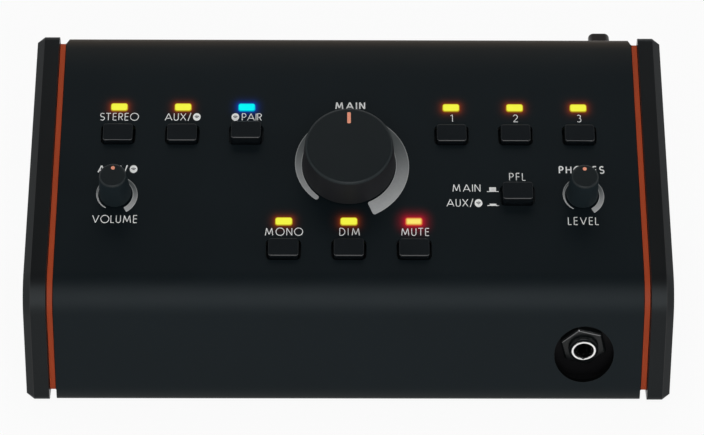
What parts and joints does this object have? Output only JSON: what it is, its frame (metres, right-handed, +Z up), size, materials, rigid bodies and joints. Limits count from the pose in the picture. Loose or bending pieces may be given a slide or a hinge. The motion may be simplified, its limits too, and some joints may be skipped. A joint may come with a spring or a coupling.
{
  "type": "studio monitor controller",
  "caption": "Wedge-shaped desktop monitor controller: folded black metal between side cheeks, with knobs, push buttons, lit indicators and a front phones socket.",
  "frame": {"origin": "centre of the bounding box's underside, on the desk under the feet", "axes": "+X to the user's right, +Y to the rear, +Z up; the front face looks along -Y"},
  "size_m": [0.2166, 0.114, 0.078],
  "materials": {
    "shell_paint": "fine satin powder coat",
    "cheek_paint": "satin",
    "spacer_paint": "satin orange",
    "pan_metal": "matt",
    "rear_paint": "fine satin powder coat",
    "screw_steel": "black zinc",
    "foot_rubber": "matt",
    "knob_black": "satin",
    "pointer_salmon": "matt",
    "shaft_aluminium": "turned",
    "pot_grey": "matt",
    "nut_plated": "nickel plate",
    "button_black": "satin",
    "switch_plastic": "matt",
    "lens_amber": "clear amber",
    "lens_blue": "clear blue",
    "lens_red": "clear red",
    "led_white": "glossy",
    "board_green": "solder mask",
    "standoff_brass": "turned",
    "header_black": "matt",
    "ribbon_grey": "matt",
    "relay_white": "matt",
    "capacitor_black": "sleeve",
    "module_shield": "tinned",
    "socket_black": "matt",
    "socket_nut_black": "satin",
    "ring_chrome": "polished",
    "contact_brass": "plated",
    "power_gloss": "polished"
  },
  "bodies": {
    "casing": {"amber_lenses": "lens_amber", "aux_jack": "socket_black", "base_pan": "pan_metal", "blue_lens": "lens_blue", "capacitors": "capacitor_black", "casing_screws": "screw_steel", "cheek_screws": "screw_steel", "control_board": "board_green", "inner_screws": "screw_steel", "led_packages": "led_white", "left_cheek": "cheek_paint", "left_spacer": "spacer_paint", "main_board": "board_green", "main_pot": "pot_grey", "main_pot_nut": "nut_plated", "main_pot_washer": "nut_plated", "main_standoffs": "standoff_brass", "panel_standoffs": "standoff_brass", "phones_bracket": "pan_metal", "phones_contacts": "contact_brass", "phones_jack": "socket_black", "phones_jack_nut": "socket_nut_black", "phones_jack_ring": "ring_chrome", "phones_pot": "pot_grey", "power_inlet": "socket_black", "power_switch": "switch_plastic", "rear_jack_nuts": "nut_plated", "rear_jacks": "socket_black", "rear_panel": "rear_paint", "red_lens": "lens_red", "relays": "relay_white", "ribbon_cable": "ribbon_grey", "ribbon_headers": "header_black", "right_cheek": "cheek_paint", "right_spacer": "spacer_paint", "rubber_feet": "foot_rubber", "switch_bodies": "switch_plastic", "top_shell": "shell_paint", "volume_pot": "pot_grey", "wireless_module": "module_shield"},
    "main_knob": {"main_knob": "knob_black", "main_pointer": "pointer_salmon", "main_shaft": "shaft_aluminium"},
    "volume_knob": {"volume_knob": "knob_black", "volume_pointer": "pointer_salmon", "volume_shaft": "shaft_aluminium"},
    "phones_knob": {"phones_knob": "knob_black", "phones_pointer": "pointer_salmon", "phones_shaft": "shaft_aluminium"},
    "power_button": {"power_button": "power_gloss"},
    "stereo_button": {"stereo_button": "button_black"},
    "aux_button": {"aux_button": "button_black"},
    "pair_button": {"pair_button": "button_black"},
    "output_1_button": {"output_1_button": "button_black"},
    "output_2_button": {"output_2_button": "button_black"},
    "output_3_button": {"output_3_button": "button_black"},
    "mono_button": {"mono_button": "button_black"},
    "dim_button": {"dim_button": "button_black"},
    "mute_button": {"mute_button": "button_black"},
    "pfl_button": {"pfl_button": "button_black"}
  },
  "joints": [
    {"name": "main_knob_turn", "type": "hinge", "parent": "casing", "child": "main_knob", "pos_m": [0, -0.00003, 0.05929], "axis": [0, -0.3681, 0.9298], "range_deg": [-150, 150]},
    {"name": "volume_knob_turn", "type": "hinge", "parent": "casing", "child": "volume_knob", "pos_m": [-0.07875, -0.011, 0.05494], "axis": [0, -0.3681, 0.9298], "range_deg": [-150, 150]},
    {"name": "phones_knob_turn", "type": "hinge", "parent": "casing", "child": "phones_knob", "pos_m": [0.07875, -0.011, 0.05494], "axis": [0, -0.3681, 0.9298], "range_deg": [-150, 150]},
    {"name": "stereo_button_press", "type": "slide", "parent": "casing", "child": "stereo_button", "axis": [0, 0.3681, -0.9298], "range_m": [-0.0018, 0.0008], "stiffness_N_per_m": 500},
    {"name": "aux_button_press", "type": "slide", "parent": "casing", "child": "aux_button", "axis": [0, 0.3681, -0.9298], "range_m": [-0.0018, 0.0008], "stiffness_N_per_m": 500},
    {"name": "pair_button_press", "type": "slide", "parent": "casing", "child": "pair_button", "axis": [0, 0.3681, -0.9298], "range_m": [0, 0.0026], "stiffness_N_per_m": 500, "springref_m": -0.0005},
    {"name": "output_1_button_press", "type": "slide", "parent": "casing", "child": "output_1_button", "axis": [0, 0.3681, -0.9298], "range_m": [-0.0018, 0.0008], "stiffness_N_per_m": 500},
    {"name": "output_2_button_press", "type": "slide", "parent": "casing", "child": "output_2_button", "axis": [0, 0.3681, -0.9298], "range_m": [-0.0018, 0.0008], "stiffness_N_per_m": 500},
    {"name": "output_3_button_press", "type": "slide", "parent": "casing", "child": "output_3_button", "axis": [0, 0.3681, -0.9298], "range_m": [-0.0018, 0.0008], "stiffness_N_per_m": 500},
    {"name": "mono_button_press", "type": "slide", "parent": "casing", "child": "mono_button", "axis": [0, 0.3681, -0.9298], "range_m": [-0.0018, 0.0008], "stiffness_N_per_m": 500},
    {"name": "dim_button_press", "type": "slide", "parent": "casing", "child": "dim_button", "axis": [0, 0.3681, -0.9298], "range_m": [-0.0018, 0.0008], "stiffness_N_per_m": 500},
    {"name": "mute_button_press", "type": "slide", "parent": "casing", "child": "mute_button", "axis": [0, 0.3681, -0.9298], "range_m": [-0.0018, 0.0008], "stiffness_N_per_m": 500},
    {"name": "pfl_button_press", "type": "slide", "parent": "casing", "child": "pfl_button", "axis": [0, 0.3681, -0.9298], "range_m": [0, 0.0026], "stiffness_N_per_m": 500, "springref_m": -0.0005},
    {"name": "power_button_press", "type": "slide", "parent": "casing", "child": "power_button", "axis": [0, -1, 0], "range_m": [-0.0025, 0.0008], "stiffness_N_per_m": 500}
  ]
}
